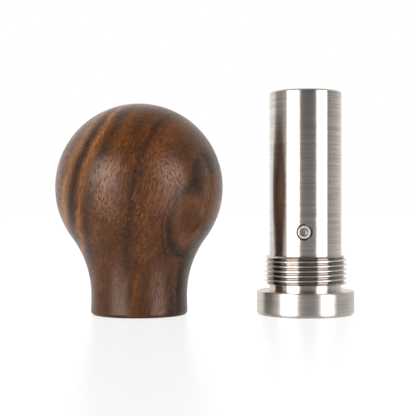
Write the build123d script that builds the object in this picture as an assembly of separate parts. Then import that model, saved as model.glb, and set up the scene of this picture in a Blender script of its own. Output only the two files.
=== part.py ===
from build123d import *
import math
import os

# Handle set of a spring espresso tamper: a turned walnut ball knob that stands mouth-down
# beside the stainless spring stem it screws on to. Millimetres, +Z up. The origin is on the
# stem's axis, at the mouth of the socket in its foot, level with the surface both stand on.
# The knob stands to the left, at -X. -Y is the front.

os.makedirs("parts", exist_ok=True)

# ---------------------------------------------------------------- driving dimensions
# stem
tube_radius = 9.6          # plain stainless tube
stem_height = 59.4         # flange's underside to the tube's closed top
flange_height = 6.4
relief_height = 1.8        # plain neck between the flange and the thread
thread_length = 7.5
thread_pitch = 1.25        # right-hand, 60 degree V
thread_step = 0.59         # the thread's root stands this far outside the tube
thread_fullness = 0.648    # the thread's depth, as a share of its pitch
thread_phase = 290.0       # degrees that the thread's start is turned about the axis
tube_edge_chamfer = 0.4
flange_top_fillet = 0.4
flange_foot_fillet = 0.9
chamber_wall = 3.1         # tube wall round the spring chamber
chamber_roof = 3.2         # solid metal over the chamber

# knob
ball_radius = 22.35
neck_z = 5.2               # height of the neck's narrowest ring above the mouth
mouth_edge_radius = 1.0
mouth_flare = 0.1          # the mouth is this much wider than the neck, in radius
mouth_margin = 0.05        # the flange stands out past the knob's mouth by this much
crown_thickness = 3.0      # wood over the end of the knob's bore
bore_corner_radius = 0.6
insert_wall = 0.75         # metal outside the insert's thread crests
neck_wood = 1.05           # wood outside the insert at the mouth
insert_height = 10.3
insert_recess = 0.2        # the insert's face sits this far inside the knob's mouth
insert_chamfer = 0.5
stand_gap = 9.2            # clear space between the ball and the flange, side by side

# set screw
grub_radius = 2.0
grub_pitch = 0.7
grub_thread_depth = 0.38
grub_z = 22.1              # height of its axis above the flange's underside
grub_angle = 6.5           # degrees that it is turned from the front, towards the knob
grub_recess = 0.25         # its face sits this far under the tube's surface
grub_face_chamfer = 0.3
grub_tip_chamfer = 0.25
hex_across_flats = 2.0
hex_depth = 1.7
hex_turn = 8.0             # degrees that the hexagon is turned from flats upright
hex_drill_radius = 0.35    # drill point in the socket's floor
hex_drill_depth = 0.3
dog_radius = 1.25
dog_length = 2.0
hole_break = 0.2           # chamfer round the tapped hole in the tube

# plunger, which a tamping base screws to
plunger_travel = 8.0
plunger_top_land = 5.9     # from the set screw's axis up to the plunger's shoulder
plunger_recess = 0.15      # its end sits this far inside the foot
plunger_edge_chamfer = 0.25
socket_radius = 3.4        # tapping size for an M8 stud
socket_depth = 11.4
socket_cone = 59.0         # half angle of the drill point, in degrees
spigot_height = 3.0
spigot_chamfer = 0.6

# spring and its washer
wire_radius = 0.8
spring_turns = 8.5
washer_thickness = 1.0

# guide bush and wiper ring in the foot
bush_wall = 1.5
bush_height = 8.6
bush_recess = 0.4          # the bush's end sits this far inside the foot
wiper_radius = 0.6         # section of the ring
wiper_z = 3.4
wiper_seat = 0.1           # the ring's groove is this much larger than the ring

# fits, in radius
running = 0.05             # plunger in its bush and chamber, set screw in its hole
bore_clearance = 0.15      # knob's bore round the tube
end_clearance = 0.3        # knob's bore beyond the tube's end
thread_clearance = 0.06    # insert's thread round the stem's thread
groove_clearance = 0.1     # plunger's groove round the dog point
spring_clearance = 0.4     # spring inside the chamber
spigot_clearance = 0.4     # plunger's spigot inside the spring
washer_clearance = 0.2     # washer round the spigot and in the chamber

# ---------------------------------------------------------------- sizes that follow
relief_top = flange_height + relief_height
thread_top = relief_top + thread_length
root_radius = tube_radius + thread_step
thread_depth = thread_fullness * thread_pitch
crest_radius = root_radius + thread_depth
insert_radius = crest_radius + insert_wall
neck_radius = insert_radius + neck_wood
mouth_radius = neck_radius + mouth_flare
flange_radius = mouth_radius + mouth_margin

bore_radius = tube_radius + bore_clearance
bore_depth = stem_height - flange_height + end_clearance
knob_height = bore_depth + crown_thickness
ball_z = knob_height - ball_radius
knob_x = -(flange_radius + stand_gap + ball_radius)
insert_top = insert_recess + insert_height

chamber_radius = tube_radius - chamber_wall
chamber_top = stem_height - chamber_roof
bush_radius = chamber_radius + bush_wall
bush_top = bush_recess + bush_height
plunger_radius = chamber_radius - running
plunger_top = grub_z + plunger_top_land
spring_bottom = plunger_top + washer_thickness
spring_radius = chamber_radius - spring_clearance - wire_radius
spigot_radius = spring_radius - wire_radius - spigot_clearance
grub_face = tube_radius - grub_recess
dog_tip = chamber_radius - dog_length
groove_floor = dog_tip - 3 * groove_clearance
groove_radius = dog_radius + groove_clearance

half_flank = math.radians(30)


# ---------------------------------------------------------------- shared helpers
def rod(radius, z_low, z_high):
    """A round bar on the Z axis between two heights."""
    return Pos(0, 0, z_low) * Cylinder(
        radius, z_high - z_low, align=(Align.CENTER, Align.CENTER, Align.MIN)
    )


def turned(points):
    """A turned solid from an outline of (radius, height) points, starting on the axis."""
    return revolve(Plane.XZ * make_face(Polyline(*points, close=True)), Axis.Z)


def threaded_rod(root, crest, pitch, z_low, z_high, chamfers):
    """A round core with the helical ridge of a right-hand V thread, chamfered at both ends.

    The ridge is sunk into the core by a twentieth of its depth and reaches crest. Its four
    faces are ruled between helices. It is made a turn too long at each end and cut back.
    """
    sink = (crest - root) / 20
    half_crest = pitch / 16
    half_base = half_crest + (crest - root + sink) * math.tan(half_flank)
    corners = [
        (root - sink, -half_base),
        (crest, -half_crest),
        (crest, half_crest),
        (root - sink, half_base),
    ]
    run = z_high - z_low + 2 * pitch
    edges = []
    for radius, height in corners:
        helix = Helix(pitch=pitch, height=run, radius=radius)
        edges.append((Pos(0, 0, height) * helix).edge())
    faces = []
    for number, edge in enumerate(edges):
        faces.append(Face.make_surface_from_curves(edge, edges[(number + 1) % 4]))
    for end in (0, 1):
        faces.append(Face(Wire.make_polygon([edge @ end for edge in edges], close=True)))
    ridge = Pos(0, 0, z_low - pitch) * Solid(Shell(faces))
    low, high = chamfers
    envelope = turned(
        [
            (0, z_low),
            (crest - low + pitch / 10, z_low),
            (crest + pitch / 10, z_low + low),
            (crest + pitch / 10, z_high - high),
            (crest - high + pitch / 10, z_high),
            (0, z_high),
        ]
    )
    return rod(root, z_low, z_high) + (ridge & envelope)


def at_grub(shape):
    """Puts a shape made on the +Z axis on the set screw's axis, outwards from the stem."""
    return Pos(0, 0, grub_z) * Rot(0, 0, -grub_angle) * Rot(90, 0, 0) * shape


# ---------------------------------------------------------------- knob
def make_knob():
    """Walnut ball on a short waisted neck, bored from the mouth for the stem."""
    drop = ball_z - neck_z
    sweep_radius = (neck_radius**2 + drop**2 - ball_radius**2) / (2 * (ball_radius - neck_radius))
    centre_r = neck_radius + sweep_radius
    share = ball_radius / (ball_radius + sweep_radius)
    join = (centre_r * share, ball_z - drop * share)
    half_turn = math.atan2(drop, centre_r) / 2
    waist_mid = (
        centre_r - sweep_radius * math.cos(half_turn),
        neck_z + sweep_radius * math.sin(half_turn),
    )
    edge_centre = (mouth_radius - mouth_edge_radius, mouth_edge_radius)
    diagonal = mouth_edge_radius / math.sqrt(2)
    flare_mid = (neck_radius + mouth_flare / 4, (neck_z + mouth_edge_radius) / 2)
    outline = [
        Line((0, 0), (edge_centre[0], 0)),
        ThreePointArc(
            (edge_centre[0], 0),
            (edge_centre[0] + diagonal, edge_centre[1] - diagonal),
            (mouth_radius, mouth_edge_radius),
        ),
        ThreePointArc((mouth_radius, mouth_edge_radius), flare_mid, (neck_radius, neck_z)),
        ThreePointArc((neck_radius, neck_z), waist_mid, join),
        ThreePointArc(join, (ball_radius, ball_z), (0, knob_height)),
        Line((0, knob_height), (0, 0)),
    ]
    blank = revolve(Plane.XZ * make_face(Wire(outline)), Axis.Z)
    bore = rod(bore_radius, 0, bore_depth)
    bore = fillet(bore.edges().sort_by(Axis.Z)[-1], bore_corner_radius)
    seat = rod(insert_radius, 0, insert_top)
    return Pos(knob_x, 0, 0) * (blank - bore - seat)


def make_knob_insert():
    """Metal ring glued in the knob's mouth, with the thread that takes the stem."""
    minor = root_radius + thread_clearance
    major = crest_radius + thread_clearance
    ring = rod(insert_radius, insert_recess, insert_top)
    lead = turned(
        [
            (0, insert_recess),
            (minor + insert_chamfer, insert_recess),
            (minor, insert_recess + insert_chamfer),
            (0, insert_recess + insert_chamfer),
        ]
    )
    tap = threaded_rod(
        minor, major, thread_pitch, -thread_pitch, insert_top + thread_pitch,
        (thread_depth, thread_depth),
    )
    return Pos(knob_x, 0, 0) * (ring - lead - tap)


# ---------------------------------------------------------------- stem
def make_stem_body():
    """Turned stainless stem: flange, relief neck, threaded collar and closed tube."""
    flange = rod(flange_radius, 0, flange_height)
    flange = fillet(flange.edges().sort_by(Axis.Z)[-1], flange_top_fillet)
    flange = fillet(flange.edges().sort_by(Axis.Z)[0], flange_foot_fillet)
    tube = rod(tube_radius, flange_height - 1, stem_height)
    tube = chamfer(tube.edges().sort_by(Axis.Z)[-1], tube_edge_chamfer)
    collar = threaded_rod(
        root_radius, crest_radius, thread_pitch, relief_top, thread_top,
        (thread_depth / 2, thread_depth),
    )
    body = flange + tube + Rot(0, 0, thread_phase) * collar
    body -= rod(chamber_radius, 0, chamber_top)
    body -= rod(bush_radius, 0, bush_top)
    hole_radius = grub_radius + running
    hole = rod(hole_radius, 0, tube_radius + 1)
    bevel = Pos(0, 0, tube_radius - hole_break) * Cone(
        hole_radius, hole_radius + 1, 1, align=(Align.CENTER, Align.CENTER, Align.MIN)
    )
    return body - at_grub(hole) - at_grub(bevel)


def make_grub_screw():
    """Hexagon-socket set screw whose dog point keys the plunger."""
    shank = threaded_rod(
        grub_radius - grub_thread_depth, grub_radius, grub_pitch, chamber_radius, grub_face,
        (grub_thread_depth, grub_face_chamfer),
    )
    dog = rod(dog_radius, dog_tip, chamber_radius + grub_pitch)
    dog = chamfer(dog.edges().sort_by(Axis.Z)[0], grub_tip_chamfer)
    floor = grub_face - hex_depth
    flats = RegularPolygon(hex_across_flats / 2, 6, major_radius=False, rotation=hex_turn)
    hexagon = Pos(0, 0, floor) * extrude(flats, hex_depth + 1)
    point = Pos(0, 0, floor - hex_drill_depth) * Cone(
        0, hex_drill_radius, hex_drill_depth, align=(Align.CENTER, Align.CENTER, Align.MIN)
    )
    return at_grub(shank + dog - hexagon - point)


# ---------------------------------------------------------------- inside the stem
def make_plunger():
    """Sliding shaft with an M8 socket in its foot and a groove for the dog point."""
    spigot_top = plunger_top + spigot_height
    shaft = turned(
        [
            (0, plunger_recess),
            (plunger_radius - plunger_edge_chamfer, plunger_recess),
            (plunger_radius, plunger_recess + plunger_edge_chamfer),
            (plunger_radius, plunger_top - plunger_edge_chamfer),
            (plunger_radius - plunger_edge_chamfer, plunger_top),
            (spigot_radius, plunger_top),
            (spigot_radius, spigot_top - spigot_chamfer),
            (spigot_radius - spigot_chamfer, spigot_top),
            (0, spigot_top),
        ]
    )
    socket_top = plunger_recess + socket_depth
    cone_height = socket_radius / math.tan(math.radians(socket_cone))
    socket = turned(
        [
            (0, 0),
            (socket_radius + plunger_edge_chamfer + plunger_recess, 0),
            (socket_radius, plunger_recess + plunger_edge_chamfer),
            (socket_radius, socket_top),
            (0, socket_top + cone_height),
        ]
    )
    slot = SlotCenterToCenter(plunger_travel + groove_clearance, 2 * groove_radius, rotation=90)
    mid = -plunger_travel / 2
    groove = Pos(0, mid, groove_floor) * extrude(slot, plunger_radius - groove_floor + 1)
    return shaft - socket - at_grub(groove)


def make_spring():
    """Compression spring with both ends ground flat."""
    inside = chamber_top - spring_bottom - wire_radius
    path = Helix(pitch=inside / spring_turns, height=inside, radius=spring_radius)
    section = Plane(origin=path @ 0, z_dir=path % 0) * Circle(wire_radius)
    coil = Pos(0, 0, spring_bottom + wire_radius / 2) * sweep(section, path=path)
    return coil & rod(chamber_radius, spring_bottom, chamber_top)


def make_spring_washer():
    """Hard washer between the spring and the plunger's shoulder."""
    outside = rod(chamber_radius - washer_clearance, plunger_top, spring_bottom)
    return outside - rod(spigot_radius + washer_clearance, plunger_top, spring_bottom)


def make_guide_bush():
    """Acetal sleeve that the plunger runs in, with a groove for the wiper ring."""
    sleeve = rod(bush_radius, bush_recess, bush_top) - rod(chamber_radius, 0, bush_top)
    half = wiper_radius + wiper_seat
    depth = chamber_radius + 2 * wiper_radius + wiper_seat
    return sleeve - rod(depth, wiper_z - half, wiper_z + half)


def make_wiper_ring():
    """Round-section rubber ring in the bush's groove."""
    return Pos(0, 0, wiper_z) * Torus(chamber_radius + wiper_radius, wiper_radius)


# ---------------------------------------------------------------- output
pieces = {
    "knob": make_knob(),
    "knob_insert": make_knob_insert(),
    "stem_body": make_stem_body(),
    "grub_screw": make_grub_screw(),
    "plunger": make_plunger(),
    "spring": make_spring(),
    "spring_washer": make_spring_washer(),
    "guide_bush": make_guide_bush(),
    "wiper_ring": make_wiper_ring(),
}
for name, piece in pieces.items():
    export_step(piece, f"parts/{name}.step")
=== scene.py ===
# %% [markdown]
# # Walnut knob and sprung stem of an espresso tamper
# The imported frame gives every part at its real place and size, in metres. This lesson gives
# each part its finish, lights the set as a small product table, and places the camera. The
# frame is loaded first, because every position below is worked out from it.

# %% Load the frame
import math

import bmesh
import bpy
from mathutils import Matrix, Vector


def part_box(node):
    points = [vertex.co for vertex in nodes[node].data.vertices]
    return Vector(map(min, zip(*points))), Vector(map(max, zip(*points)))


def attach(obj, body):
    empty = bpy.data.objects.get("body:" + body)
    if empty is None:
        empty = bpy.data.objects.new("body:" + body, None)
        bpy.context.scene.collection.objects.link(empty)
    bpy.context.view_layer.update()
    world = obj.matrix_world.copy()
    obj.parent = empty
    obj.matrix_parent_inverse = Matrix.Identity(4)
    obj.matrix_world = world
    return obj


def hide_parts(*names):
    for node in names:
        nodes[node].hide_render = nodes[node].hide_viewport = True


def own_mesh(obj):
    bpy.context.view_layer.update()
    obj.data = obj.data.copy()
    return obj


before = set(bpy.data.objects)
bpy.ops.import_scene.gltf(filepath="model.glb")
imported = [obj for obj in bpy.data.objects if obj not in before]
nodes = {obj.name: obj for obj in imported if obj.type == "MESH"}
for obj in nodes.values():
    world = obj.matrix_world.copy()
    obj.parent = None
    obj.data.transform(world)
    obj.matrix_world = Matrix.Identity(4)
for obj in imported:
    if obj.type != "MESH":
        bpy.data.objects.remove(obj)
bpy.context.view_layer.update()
scene = bpy.context.scene
MM = 0.001
print("parts:", sorted(nodes))

# %% [markdown]
# The finishes are centred on the parts themselves: wood grain on the middle of the knob's
# ball, turning marks on the stem's axis, facing marks on the set screw's. These places are
# read from the parts' own boxes, so nothing is typed in twice and a change of size follows.

# %% Read places from the frame
knob_low, knob_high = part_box("knob")
stem_low, stem_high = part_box("stem_body")
screw_low, screw_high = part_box("grub_screw")
ball_radius = (knob_high.x - knob_low.x) / 2
knob_middle = (knob_low + knob_high) / 2
ball_centre = (knob_middle.x, knob_middle.y, knob_high.z - ball_radius)
stem_middle = (stem_low + stem_high) / 2
stem_foot = (stem_middle.x, stem_middle.y, stem_low.z)
screw_middle = tuple((screw_low + screw_high) / 2)
print("ball radius", round(ball_radius / MM, 2), "mm; ball centre", ball_centre)

# %% [markdown]
# The camera stands level, a little to the left of the stem and at about half of its height.
# It stands about 29 cm away with a long lens: a level camera keeps the upright edges
# parallel, and the long lens keeps the ball round.

# %% Camera
camera_distance = 288 * MM
camera_left = 26.1 * MM
camera_height = 28.4 * MM
camera_lens = 93.0
camera_sensor = 36.0

camera_data = bpy.data.cameras.new("camera")
camera_data.lens = camera_lens
camera_data.sensor_width = camera_sensor
camera_data.clip_start = 10 * MM
camera = bpy.data.objects.new("camera", camera_data)
camera.location = (
    stem_middle.x - camera_left,
    stem_middle.y - camera_distance,
    camera_height,
)
camera.rotation_euler = (math.radians(90), 0, 0)
scene.collection.objects.link(camera)
scene.camera = camera
scene.view_settings.view_transform = "Standard"
print("camera at", tuple(round(value, 4) for value in camera.location))

# %% [markdown]
# Materials are written as arithmetic. `Wire` wraps the output socket of a node, so
# `1 - mask * 0.5` adds the Math nodes for it. `Recipe` holds one material's nodes, and its
# `add` makes any other kind of node from its type, its settings and what goes into its
# sockets. Colours and vectors don't survive a Math node, so they get their own helpers.

# %% Shader helper
class Wire:
    """An output socket that can be added, multiplied and subtracted in plain Python."""

    def __init__(self, recipe, socket):
        self.recipe = recipe
        self.socket = socket

    def _math(self, operation, first, second):
        return self.recipe.add("ShaderNodeMath", {"operation": operation}, {0: first, 1: second})

    def __add__(self, other):
        return self._math("ADD", self, other)

    def __sub__(self, other):
        return self._math("SUBTRACT", self, other)

    def __rsub__(self, other):
        return self._math("SUBTRACT", other, self)

    def __mul__(self, other):
        return self._math("MULTIPLY", self, other)

    __radd__ = __add__
    __rmul__ = __mul__


class Recipe:
    """The nodes of one material or world."""

    def __init__(self, owner):
        owner.use_nodes = True
        self.tree = owner.node_tree

    def add(self, kind, settings=None, inputs=None, output=0):
        """Adds a node, sets it up, feeds its sockets with wires or values, wraps an output."""
        made = self.tree.nodes.new(kind)
        for name, value in (settings or {}).items():
            if name == "stops":
                self._set_stops(made.color_ramp, value)
            else:
                setattr(made, name, value)
        for key, value in (inputs or {}).items():
            if isinstance(value, Wire):
                self.tree.links.new(value.socket, made.inputs[key])
            else:
                made.inputs[key].default_value = value
        return Wire(self, made.outputs[output]) if output is not None else None

    def _set_stops(self, ramp, stops):
        while len(ramp.elements) < len(stops):
            ramp.elements.new(1.0)
        for element, (position, shade) in zip(ramp.elements, stops):
            element.position = position
            element.color = (*shade, 1)

    def pattern(self, centre, turn=(0, 0, 0)):
        """Object coordinates in millimetres from a centre, turned by angles in degrees."""
        place = self.add("ShaderNodeTexCoord", output="Object")
        angles = tuple(math.radians(angle) for angle in turn)
        return self.add(
            "ShaderNodeMapping",
            {"vector_type": "TEXTURE"},
            {"Vector": place, "Location": centre, "Rotation": angles, "Scale": (MM, MM, MM)},
        )

    def stretch(self, vector, factors):
        """A vector with each coordinate multiplied by its own factor."""
        settings = {"operation": "MULTIPLY"}
        return self.add("ShaderNodeVectorMath", settings, {0: vector, 1: factors})

    def axes(self, vector):
        """The three coordinates of a vector."""
        return [self.add("ShaderNodeSeparateXYZ", None, {0: vector}, axis) for axis in range(3)]

    def length(self, vector):
        return self.add("ShaderNodeVectorMath", {"operation": "LENGTH"}, {0: vector}, "Value")

    def noise(self, vector, detail=2.0, roughness=0.5):
        """Noise from about 0.2 to 0.8, with features one unit across."""
        sockets = {"Vector": vector, "Scale": 1.0, "Detail": detail, "Roughness": roughness}
        return self.add("ShaderNodeTexNoise", None, sockets)

    def rise(self, value, low, high):
        """0 below low and 1 above high, with a soft step between."""
        return self.add(
            "ShaderNodeMapRange",
            {"interpolation_type": "SMOOTHSTEP"},
            {"Value": value, "From Min": low, "From Max": high},
        )

    def window(self, value, low, high, soft):
        """1 between low and high, with soft edges."""
        over = self.rise(value, high - soft, high + soft)
        return self.rise(value, low - soft, low + soft) * (1 - over)

    def mix(self, factor, first, second, blend="MIX"):
        """Two colours mixed by a factor."""
        settings = {"data_type": "RGBA", "blend_type": blend}
        return self.add("ShaderNodeMix", settings, {0: factor, 6: first, 7: second}, 2)

    def bump(self, height, depth, strength=1.0):
        """A normal from a height that goes from 0 to 1 over a depth in millimetres."""
        sockets = {"Height": height, "Strength": strength, "Distance": depth * MM}
        return self.add("ShaderNodeBump", None, sockets)


def tone(red, green, blue):
    """A colour given on screen, 0 to 255, as the linear light that shaders work in."""
    def linear(part):
        share = part / 255
        return share / 12.92 if share <= 0.04045 else ((share + 0.055) / 1.055) ** 2.4

    return (linear(red), linear(green), linear(blue))


print("helper ready; mid grey is", round(tone(128, 128, 128)[0], 3))

# %% [markdown]
# The light is a small studio: pale walls all round, a dark room in front where the camera
# stands, and one tall soft box at each side of it. Polished round metal shows that as
# upright white and dark bands. Lamps would do it too, but a world that is a function of
# direction gives exact band edges and no noise, so the studio is drawn there. Directions
# are in degrees: to the side they start straight in front, with the right positive, and in
# height they start at the horizon. The camera sees plain white in place of it all.

# %% Studio light
box_power = 6.4
box_low, box_high, box_soft = -30, 32, 10
left_box, left_box_extra = (-64, -26.5), 1.2
right_box = (33, 66)
dark_room, dark_room_level = (-66, 78), 0.04
left_wall_level, left_wall_gain, left_wall_turn = 0.42, 0.68, (112, 124)
right_wall_level, right_wall_gain, right_wall_turn = 0.36, 0.54, (80, 150)
ceiling_from, ceiling_to, ceiling_level = 30, 70, 0.12
wall_light = (1.0, 0.975, 0.94, 1)
room_light = (1.0, 0.93, 0.94, 1)


def studio_world():
    world = bpy.data.worlds.new("studio")
    scene.world = world
    recipe = Recipe(world)
    recipe.tree.nodes.clear()
    x, y, z = recipe.axes(recipe.add("ShaderNodeTexCoord", output="Generated"))
    side = recipe.add("ShaderNodeMath", {"operation": "ARCTAN2"}, {0: x, 1: y * -1})
    side = side * math.degrees(1)
    height = recipe.add("ShaderNodeMath", {"operation": "ARCSINE"}, {0: z}) * math.degrees(1)

    tall = recipe.window(height, box_low, box_high, box_soft)
    boxes = recipe.window(side, *left_box, 2) * left_box_extra + recipe.window(side, *right_box, 2)
    boxes = boxes * tall
    room = recipe.window(side, *dark_room, 4)
    left_wall = left_wall_level + left_wall_gain * recipe.rise(side * -1, *left_wall_turn)
    right_wall = right_wall_level + right_wall_gain * recipe.rise(side, *right_wall_turn)
    on_right = recipe.rise(side, -1, 1)
    walls = left_wall * (1 - on_right) + right_wall * on_right
    above = recipe.rise(height, ceiling_from, ceiling_to)
    walls = walls * (1 - room) + room * dark_room_level
    level = walls * (1 - above * 0.7) + above * ceiling_level + boxes * box_power

    seen = recipe.add("ShaderNodeLightPath", output="Is Camera Ray")
    strength = level * (1 - seen) + seen
    warm = recipe.mix(room, wall_light, room_light)
    warm = recipe.mix(seen, warm, (1, 1, 1, 1))
    light = recipe.add("ShaderNodeBackground", None, {"Color": warm, "Strength": strength})
    recipe.add("ShaderNodeOutputWorld", None, {"Surface": light}, output=None)


studio_world()
print("studio drawn, soft boxes at", box_power)

# %% [markdown]
# The table top is pale and brightly lit, so it merges with the background and only darkens
# where a part touches it. A plain white diffuse floor would show a wide grey shadow, so part
# of its light is its own, as on a light table. A share of it is a slightly blurred mirror,
# which gives the faint reflection just under the metal foot. From below the table can be
# looked through, so that the undersides can be seen too.

# %% Table top
table_half_size = 3.0
table_drop = 0.02 * MM     # just under the parts, so that their undersides don't flicker
table_grey = (0.14, 0.14, 0.14, 1)
table_glow = 0.70          # its own light, as the parts see it
table_white = 0.28         # more of that light, as the camera sees it
table_mirror = 0.18        # the mirror's share, as the camera sees it
table_gloss = 0.50         # the mirror's share, as the parts see it
table_blur = 0.28          # the mirror's roughness

table_mesh = bpy.data.meshes.new("table_top")
grid = bmesh.new()
bmesh.ops.create_grid(grid, x_segments=1, y_segments=1, size=table_half_size)
bmesh.ops.translate(grid, verts=grid.verts, vec=(0, 0, -table_drop))
grid.to_mesh(table_mesh)
grid.free()
table = bpy.data.objects.new("table_top", table_mesh)
scene.collection.objects.link(table)


def table_finish():
    material = bpy.data.materials.new("table_top")
    recipe = Recipe(material)
    recipe.tree.nodes.clear()
    matt = recipe.add("ShaderNodeBsdfDiffuse", None, {"Color": table_grey}, "BSDF")
    seen = recipe.add("ShaderNodeLightPath", output="Is Camera Ray")
    glow = {"Strength": table_glow + seen * table_white}
    glow = recipe.add("ShaderNodeEmission", None, glow, "Emission")
    body = recipe.add("ShaderNodeAddShader", None, {0: matt, 1: glow}, "Shader")
    mirror = {"Color": (1, 1, 1, 1), "Roughness": table_blur}
    mirror = recipe.add("ShaderNodeBsdfAnisotropic", None, mirror, "BSDF")
    share = table_gloss - seen * (table_gloss - table_mirror)
    both = recipe.add("ShaderNodeMixShader", None, {0: share, 1: body, 2: mirror}, "Shader")
    below = recipe.add("ShaderNodeNewGeometry", output="Backfacing")
    clear = recipe.add("ShaderNodeBsdfTransparent", output="BSDF")
    seen_top = recipe.add("ShaderNodeMixShader", None, {0: below, 1: both, 2: clear}, "Shader")
    recipe.add("ShaderNodeOutputMaterial", None, {"Surface": seen_top}, output=None)
    return material


table_mesh.materials.append(table_finish())
print("table top", 2 * table_half_size, "m across")

# %% [markdown]
# Every finish on the object starts from Blender's Principled shader. Numbers that are the
# same all over go straight on its sockets, and what changes over the surface is linked.

# %% A new finish
def finish(name, **constants):
    """A new material, its recipe, and its Principled shader with constant sockets set."""
    material = bpy.data.materials.new(name)
    recipe = Recipe(material)
    shader = recipe.tree.nodes["Principled BSDF"]
    for key, value in constants.items():
        shader.inputs[key.replace("_", " ")].default_value = value
    return material, recipe, shader


def feed(recipe, shader, **wires):
    """Links what changes over the surface into the shader."""
    for key, wire in wires.items():
        recipe.tree.links.new(wire.socket, shader.inputs[key.replace("_", " ")])


# %% [markdown]
# Walnut is a solid material, so its figure is worked out in space and the ball's surface
# cuts through it, as on the lathe. The grain leans to the right. Across it runs a row of
# growth bands, light sapwood-like streaks and dark veins, set out in millimetres by a colour
# ramp. A ramp is used instead of the Wave texture, because real bands are uneven.

# %% Walnut colours and bands
grain_lean = 15.0           # degrees to the right of upright
knot_centre = (13.8, -6.0)  # across and along the grain, in mm from the ball's centre
knot_radii = (4.6, 9.0)
knot_push = 5.5             # mm that the knot bends the bands aside
band_low, band_high = -30.0, 30.0

wood_dark = tone(36, 21, 12)
wood_deep = tone(58, 34, 18)
wood_brown = tone(86, 51, 26)
wood_warm = tone(104, 63, 31)
wood_orange = tone(150, 96, 46)
wood_tan = tone(148, 103, 58)
wood_red = tone(78, 43, 23)
pore_black = tone(26, 15, 10)
oil_tint = (1.0, 0.78, 0.66, 1)   # the sheen of the oil takes on the wood's colour

growth_bands = [
    (-30.0, wood_brown),
    (-24.0, wood_deep),
    (-20.0, wood_warm),
    (-16.5, wood_brown),
    (-13.5, wood_tan),
    (-11.2, wood_brown),
    (-9.9, wood_dark),
    (-8.9, wood_brown),
    (-7.6, wood_orange),
    (-6.2, wood_warm),
    (-4.6, wood_deep),
    (-2.0, wood_warm),
    (2.0, wood_brown),
    (5.2, wood_brown),
    (6.9, wood_deep),
    (8.4, wood_brown),
    (10.8, wood_warm),
    (13.6, wood_brown),
    (16.0, wood_red),
    (17.8, wood_brown),
    (19.8, wood_dark),
    (21.8, wood_deep),
    (23.6, wood_warm),
    (25.0, wood_brown),
    (30.0, wood_deep),
]
print(len(growth_bands), "growth bands over", band_high - band_low, "mm")

# %% [markdown]
# The growth bands are bent by three noises, from a slow swell to a fine shred, and pushed
# aside by the knot low on the ball's right front. A thin dark line, like a closed split,
# follows the knot's left edge.

# %% Walnut figure
swell_scale = (0.045, 0.045, 0.02)   # features per mm, across the grain, deep and along it
ripple_scale = (0.16, 0.16, 0.05)
shred_scale = (0.7, 0.7, 0.06)
swell_bend, ripple_bend, shred_bend = 7, 3.6, 2.6   # mm


def figure(recipe, wood):
    """The colour of the growth bands round the knot."""
    swell = recipe.noise(recipe.stretch(wood, swell_scale), detail=1.0)
    ripple = recipe.noise(recipe.stretch(wood, ripple_scale), detail=2.0)
    shred = recipe.noise(recipe.stretch(wood, shred_scale), detail=3.0)
    across, depth, along = recipe.axes(wood)
    knot_across = (across - knot_centre[0]) * (1 / knot_radii[0])
    knot_along = (along - knot_centre[1]) * (1 / knot_radii[1])
    reach = knot_across * knot_across + knot_along * knot_along + (ripple - 0.5) * 0.9
    front = recipe.rise(depth * -1, 4, 12)
    knot = (1 - recipe.rise(reach, 0.1, 1.5)) * front

    ring = across - depth * 0.3 + knot * knot_push
    ring = ring + (swell - 0.5) * swell_bend + (ripple - 0.5) * ripple_bend
    ring = ring + (shred - 0.5) * shred_bend
    share = (ring - band_low) * (1 / (band_high - band_low))
    stops = [((place - band_low) / (band_high - band_low), shade) for place, shade in growth_bands]
    bands = recipe.add("ShaderNodeValToRGB", {"stops": stops}, {"Fac": share})

    split = recipe.window(reach, 0.95, 1.12, 0.1) * recipe.rise(knot_across * -1, -0.1, 0.4)
    return recipe.mix(split * front * 0.7, bands, (*wood_dark, 1))


# %% [markdown]
# Finer things lie over the bands: fibres, long streaks a fraction of a millimetre wide; soft
# blotches; and, thickest in the middle, orange glints, dark flecks and open pores, which are
# short dark dashes along the grain. Towards its bottom the neck is made a little darker.
# The oiled satin surface gets its gloss from a fairly low roughness, a little higher in the
# pores, which are also sunk very slightly.

# %% Walnut
neck_top, neck_low = 12, 24   # mm below the ball's centre over which the neck darkens
neck_darker = 0.26
oil_roughness = 0.265
pore_depth = 0.02             # mm
fibre_scale = (2.6, 2.6, 0.12)
streak_scale = (0.85, 0.85, 0.035)
blotch_scale = (0.12, 0.12, 0.07)
curl_scale = (0.25, 0.25, 1.5)
glint_scale = (1.7, 1.7, 0.22)
fleck_scale = (2.1, 2.1, 0.3)
speckle_scale = (4.6, 4.6, 0.6)
busy_scale = (0.11, 0.11, 0.07)


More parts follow.
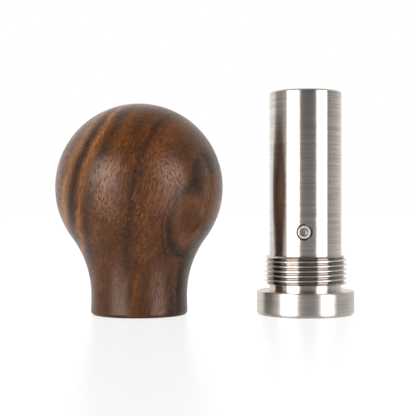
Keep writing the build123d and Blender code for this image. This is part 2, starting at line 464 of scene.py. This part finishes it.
def walnut():
    material, recipe, shader = finish(
        "walnut_oiled", Specular_IOR_Level=0.46, Specular_Tint=oil_tint
    )
    wood = recipe.pattern(ball_centre, turn=(0, grain_lean, 0))
    colour = figure(recipe, wood)

    across, _, along = recipe.axes(wood)
    fibres = recipe.noise(recipe.stretch(wood, fibre_scale), detail=3.0, roughness=0.65)
    streaks = recipe.noise(recipe.stretch(wood, streak_scale), detail=2.0)
    blotch = recipe.noise(recipe.stretch(wood, blotch_scale), detail=3.0)
    curl = recipe.noise(recipe.stretch(wood, curl_scale), detail=1.0)
    shade = 0.44 + recipe.rise(fibres, 0.33, 0.67) * 0.34 + recipe.rise(streaks, 0.35, 0.65) * 0.34
    shade = shade + recipe.rise(blotch, 0.36, 0.64) * 0.36 + recipe.rise(curl, 0.35, 0.65) * 0.08
    shade = shade * (1 - recipe.rise(along * -1, neck_top, neck_low) * neck_darker)
    grey = recipe.add("ShaderNodeCombineXYZ", None, {0: shade, 1: shade, 2: shade})
    colour = recipe.mix(1.0, colour, grey, "MULTIPLY")

    middle = recipe.window(across, -12, 8, 5) * recipe.window(along, -14, 10, 6)
    glints = recipe.noise(recipe.stretch(wood, glint_scale), detail=2.0)
    glints = recipe.rise(glints, 0.54, 0.66) * middle
    flecks = recipe.noise(recipe.stretch(wood, fleck_scale), detail=2.0, roughness=0.6)
    flecks = recipe.rise(flecks, 0.54, 0.64) * (middle + 0.15)
    speckle = recipe.noise(recipe.stretch(wood, speckle_scale), detail=1.0, roughness=0.4)
    busy = recipe.noise(recipe.stretch(wood, busy_scale), detail=1.0)
    pores = recipe.rise(speckle + (busy - 0.5) * 0.25 + middle * 0.06, 0.585, 0.63)
    colour = recipe.mix(glints * 0.34, colour, (*wood_orange, 1))
    colour = recipe.mix(flecks * 0.6, colour, (*wood_dark, 1))
    colour = recipe.mix(pores * 0.85, colour, (*pore_black, 1))

    feed(
        recipe,
        shader,
        Base_Color=colour,
        Roughness=oil_roughness + pores * 0.2 + (fibres - 0.5) * 0.1,
        Normal=recipe.bump(1 - pores, pore_depth, 0.5),
    )
    return material


wood_finish = walnut()
print("walnut ready")

# %% [markdown]
# Three things mark the stem apart from its turning. The crests of the thread are painted
# bright, a painted highlight, and its root is painted a darker grey, painted shade. The flange
# has a slightly coarser finish, so its bands are softer. And the narrow gap round the set
# screw is painted dark, painted shade, on the front only.

# %% Marks and painted light on the stem
thread_band = (8.2, 15.7)   # heights above the foot, in mm
thread_root, thread_crest = 10.19, 11.0
# painted highlight: the thread's crests are painted a bright grey
crest_painted_highlight = (0.8, 0.78, 0.74, 1)
# painted shade: the thread's root is painted a darker grey
root_painted_shade = tone(84, 80, 74)
flange_top = 6.4
flange_rougher = 0.12
screw_turn = -6.5           # degrees about the stem that the set screw is turned
screw_radius = 2.0
# painted shade: the gap round the set screw is painted dark
gap_painted_shade = tone(46, 42, 40)


def stem_marks_and_painted_light(recipe, place, tint, rough):
    """The stem's colour and roughness, with its thread, its flange and the set screw's gap;
    painted highlight on the crests, painted shade in the root and the gap.
    """
    height = recipe.axes(place)[2]
    flange = 1 - recipe.rise(height, flange_top - 0.1, flange_top)
    rough = rough + flange * flange_rougher

    reach = recipe.length(recipe.stretch(place, (1, 1, 0)))
    thread = recipe.window(height, *thread_band, 0.03)
    crest = recipe.rise(reach, thread_crest - 0.2, thread_crest - 0.08) * thread
    root = (1 - recipe.rise(reach, thread_root, thread_root + 0.45)) * thread
    # Painted shade in the thread's root and a painted highlight on its crests.
    tint = recipe.mix(root * 0.6, tint, (*root_painted_shade, 1))
    tint = recipe.mix(crest, tint, crest_painted_highlight)
    rough = rough * (1 - thread * 0.5) + crest * 0.25

    at_screw = recipe.pattern(screw_middle, turn=(0, 0, screw_turn))
    # Painted shade in the gap round the set screw, on the front only.
    hole = recipe.length(recipe.stretch(at_screw, (1, 0, 1)))
    gap = 1 - recipe.rise(hole, screw_radius + 0.04, screw_radius + 0.12)
    gap = gap * (1 - recipe.rise(recipe.axes(at_screw)[1], screw_radius, 2 * screw_radius))
    return recipe.mix(gap, tint, (*gap_painted_shade, 1)), rough


# %% [markdown]
# The stem is turned stainless steel. A lathe leaves hair-fine rings round the axis, which
# spread a reflection up and down but keep it sharp from side to side. That is what the
# shader's Anisotropic does: turned by a quarter, its long direction lies along the axis.
# The rings themselves are noise of little but the height, in colour, roughness and a very
# small bump. The insert is turned too, and the spring's drawn wire uses the same recipe
# with no direction in it.

# %% Turned steel
ring_depth = 0.00003        # mm; more than this breaks the bands up
ring_dull = 0.78            # a dull ring's colour, as a share of a bright one's


def turned_steel(name, centre, colour, roughness, anisotropic=0.85, threaded=False):
    material, recipe, shader = finish(
        name, Metallic=1.0, Anisotropic=anisotropic, Anisotropic_Rotation=0.25
    )
    place = recipe.pattern(centre)
    rings = recipe.noise(recipe.stretch(place, (0.05, 0.05, 3.2)), detail=4.0, roughness=0.7)
    cloud = recipe.noise(recipe.stretch(place, (0.12, 0.12, 0.5)), detail=2.0)
    dull = tuple(part * ring_dull for part in colour)
    shade = recipe.rise(rings + (cloud - 0.5) * 0.3, 0.36, 0.64)
    tint = recipe.mix(shade, (*dull, 1), (*colour, 1))
    rough = roughness + (rings - 0.5) * 0.012
    if threaded:
        tint, rough = stem_marks_and_painted_light(recipe, place, tint, rough)
    feed(
        recipe,
        shader,
        Base_Color=tint,
        Roughness=rough,
        Normal=recipe.bump(rings, ring_depth),
    )
    return material


stainless, alloy, wire = (0.7, 0.66, 0.61), (0.7, 0.69, 0.66), (0.42, 0.41, 0.4)
steel_finish = turned_steel("turned_steel_satin", stem_foot, stainless, 0.27, threaded=True)
insert_finish = turned_steel("insert_alloy_turned", ball_centre, alloy, 0.3)
spring_finish = turned_steel("spring_wire_drawn", stem_foot, wire, 0.34, anisotropic=0.0)
print("turned finishes ready")

# %% [markdown]
# The set screw's face is turned too, but its axis points out of the tube, so its grooves are
# rings round that axis. They are deep enough to see at arm's length: left and right of the
# socket they tilt towards the soft boxes and flash, above and below they stay grey. The
# chamfer round the face is painted dark, as painted shade, and so is the edge of the socket's
# floor; the middle of that floor is painted a light beige, as a painted highlight.

# %% Set screw
socket_radius = 1.16        # the hexagon's corners, in mm
face_radius = 1.72
groove_pitch = 0.10
groove_depth = 0.0045
screw_front = (screw_low.y - screw_high.y) / (2 * MM)
rim_depth = 0.6             # from the front; the thread behind it is bright
# painted shade: the chamfer round the face is painted dark
rim_painted_shade = tone(70, 66, 62)
face_grey, face_bright = (0.55, 0.53, 0.5, 1), (0.82, 0.8, 0.76, 1)
# painted light in the socket: a painted highlight in the floor's middle, painted shade at its edge
socket_floor_painted_highlight, socket_floor_painted_shade = (0.8, 0.74, 0.64, 1), (0.2, 0.18, 0.16, 1)


def screw_steel():
    material, recipe, shader = finish("screw_steel_faced", Metallic=1.0)
    place = recipe.pattern(screw_middle, turn=(0, 0, screw_turn))
    reach = recipe.length(recipe.stretch(place, (1, 0, 1)))
    angle = reach * (2 * math.pi / groove_pitch)
    wave = recipe.add("ShaderNodeMath", {"operation": "SINE"}, {0: angle})
    grain = recipe.noise(recipe.stretch(place, (2.5, 2.5, 2.5)), detail=2.0)
    socket = 1 - recipe.rise(reach, socket_radius - 0.12, socket_radius)
    # Painted shade on the chamfer round the face, only near the front.
    rim = recipe.rise(reach, face_radius - 0.04, face_radius + 0.04)
    behind = recipe.axes(place)[1] - (screw_front + rim_depth)
    rim = rim * (1 - recipe.rise(behind, 0.0, 0.2))
    face = recipe.mix(recipe.rise(grain, 0.3, 0.7), face_grey, face_bright)
    # Painted highlight in the middle of the socket's floor, painted shade round its edge.
    floor = recipe.mix(recipe.rise(reach, 0.7, 0.95), socket_floor_painted_highlight, socket_floor_painted_shade)
    tint = recipe.mix(socket, face, floor)
    feed(
        recipe,
        shader,
        Base_Color=recipe.mix(rim, tint, (*rim_painted_shade, 1)),
        Roughness=0.34 + grain * 0.1 + socket * 0.16,
        Normal=recipe.bump(wave * 0.5 + 0.5, groove_depth),
    )
    return material


screw_finish = screw_steel()
print("set screw ready")

# %% [markdown]
# Inside the foot are a white acetal bush and a black rubber wiper ring. Moulded or turned
# plastic is never quite even, so both get a faint mottle in colour, roughness and bump.

# %% Plastic and rubber
def moulded(name, colour, darker, roughness):
    material, recipe, shader = finish(name, IOR=1.48)
    place = recipe.pattern(stem_foot)
    mottle = recipe.noise(recipe.stretch(place, (0.9, 0.9, 0.9)), detail=3.0)
    grit = recipe.noise(recipe.stretch(place, (6.0, 6.0, 6.0)), detail=2.0)
    feed(
        recipe,
        shader,
        Base_Color=recipe.mix(recipe.rise(mottle, 0.3, 0.7), (*darker, 1), (*colour, 1)),
        Roughness=roughness + (mottle - 0.5) * 0.2,
        Normal=recipe.bump(grit, 0.01, 0.6),
    )
    return material


acetal, acetal_dull = tone(226, 224, 216), tone(208, 205, 196)
rubber, rubber_dull = tone(34, 34, 35), tone(24, 24, 25)
bush_finish = moulded("acetal_turned", acetal, acetal_dull, 0.42)
rubber_finish = moulded("rubber_moulded", rubber, rubber_dull, 0.6)
print("plastic and rubber ready")

# %% [markdown]
# Each part of the frame has a slot with the name of its material. The finished recipes take
# the places of those plain materials, and the meshes stay as they are.

# %% Give every part its finish
finishes = {
    "walnut": wood_finish,
    "turned_steel": steel_finish,
    "screw_steel": screw_finish,
    "insert_alloy": insert_finish,
    "spring_steel": spring_finish,
    "bush_plastic": bush_finish,
    "ring_rubber": rubber_finish,
}
for name, part in nodes.items():
    for place in part.material_slots:
        for key, material in finishes.items():
            if key in place.material.name:
                place.material = material
                break
        else:
            print("no finish for", name, place.material.name)
    print(name, [place.material.name for place in part.material_slots])

# %% [markdown]
# When the tamper is pressed, the plunger lifts the washer and the coils of the spring close
# up. A rigid spring would run through the washer. A copy of it, with the drawn-wire finish,
# stands in its place and goes with the stem.

# %% A copy of the spring
spring_coil = bpy.data.objects.new("spring_coil", nodes["spring"].data.copy())
scene.collection.objects.link(spring_coil)
spring_coil.data.materials.clear()
spring_coil.data.materials.append(spring_finish)
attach(spring_coil, "stem")
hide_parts("spring")
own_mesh(spring_coil)
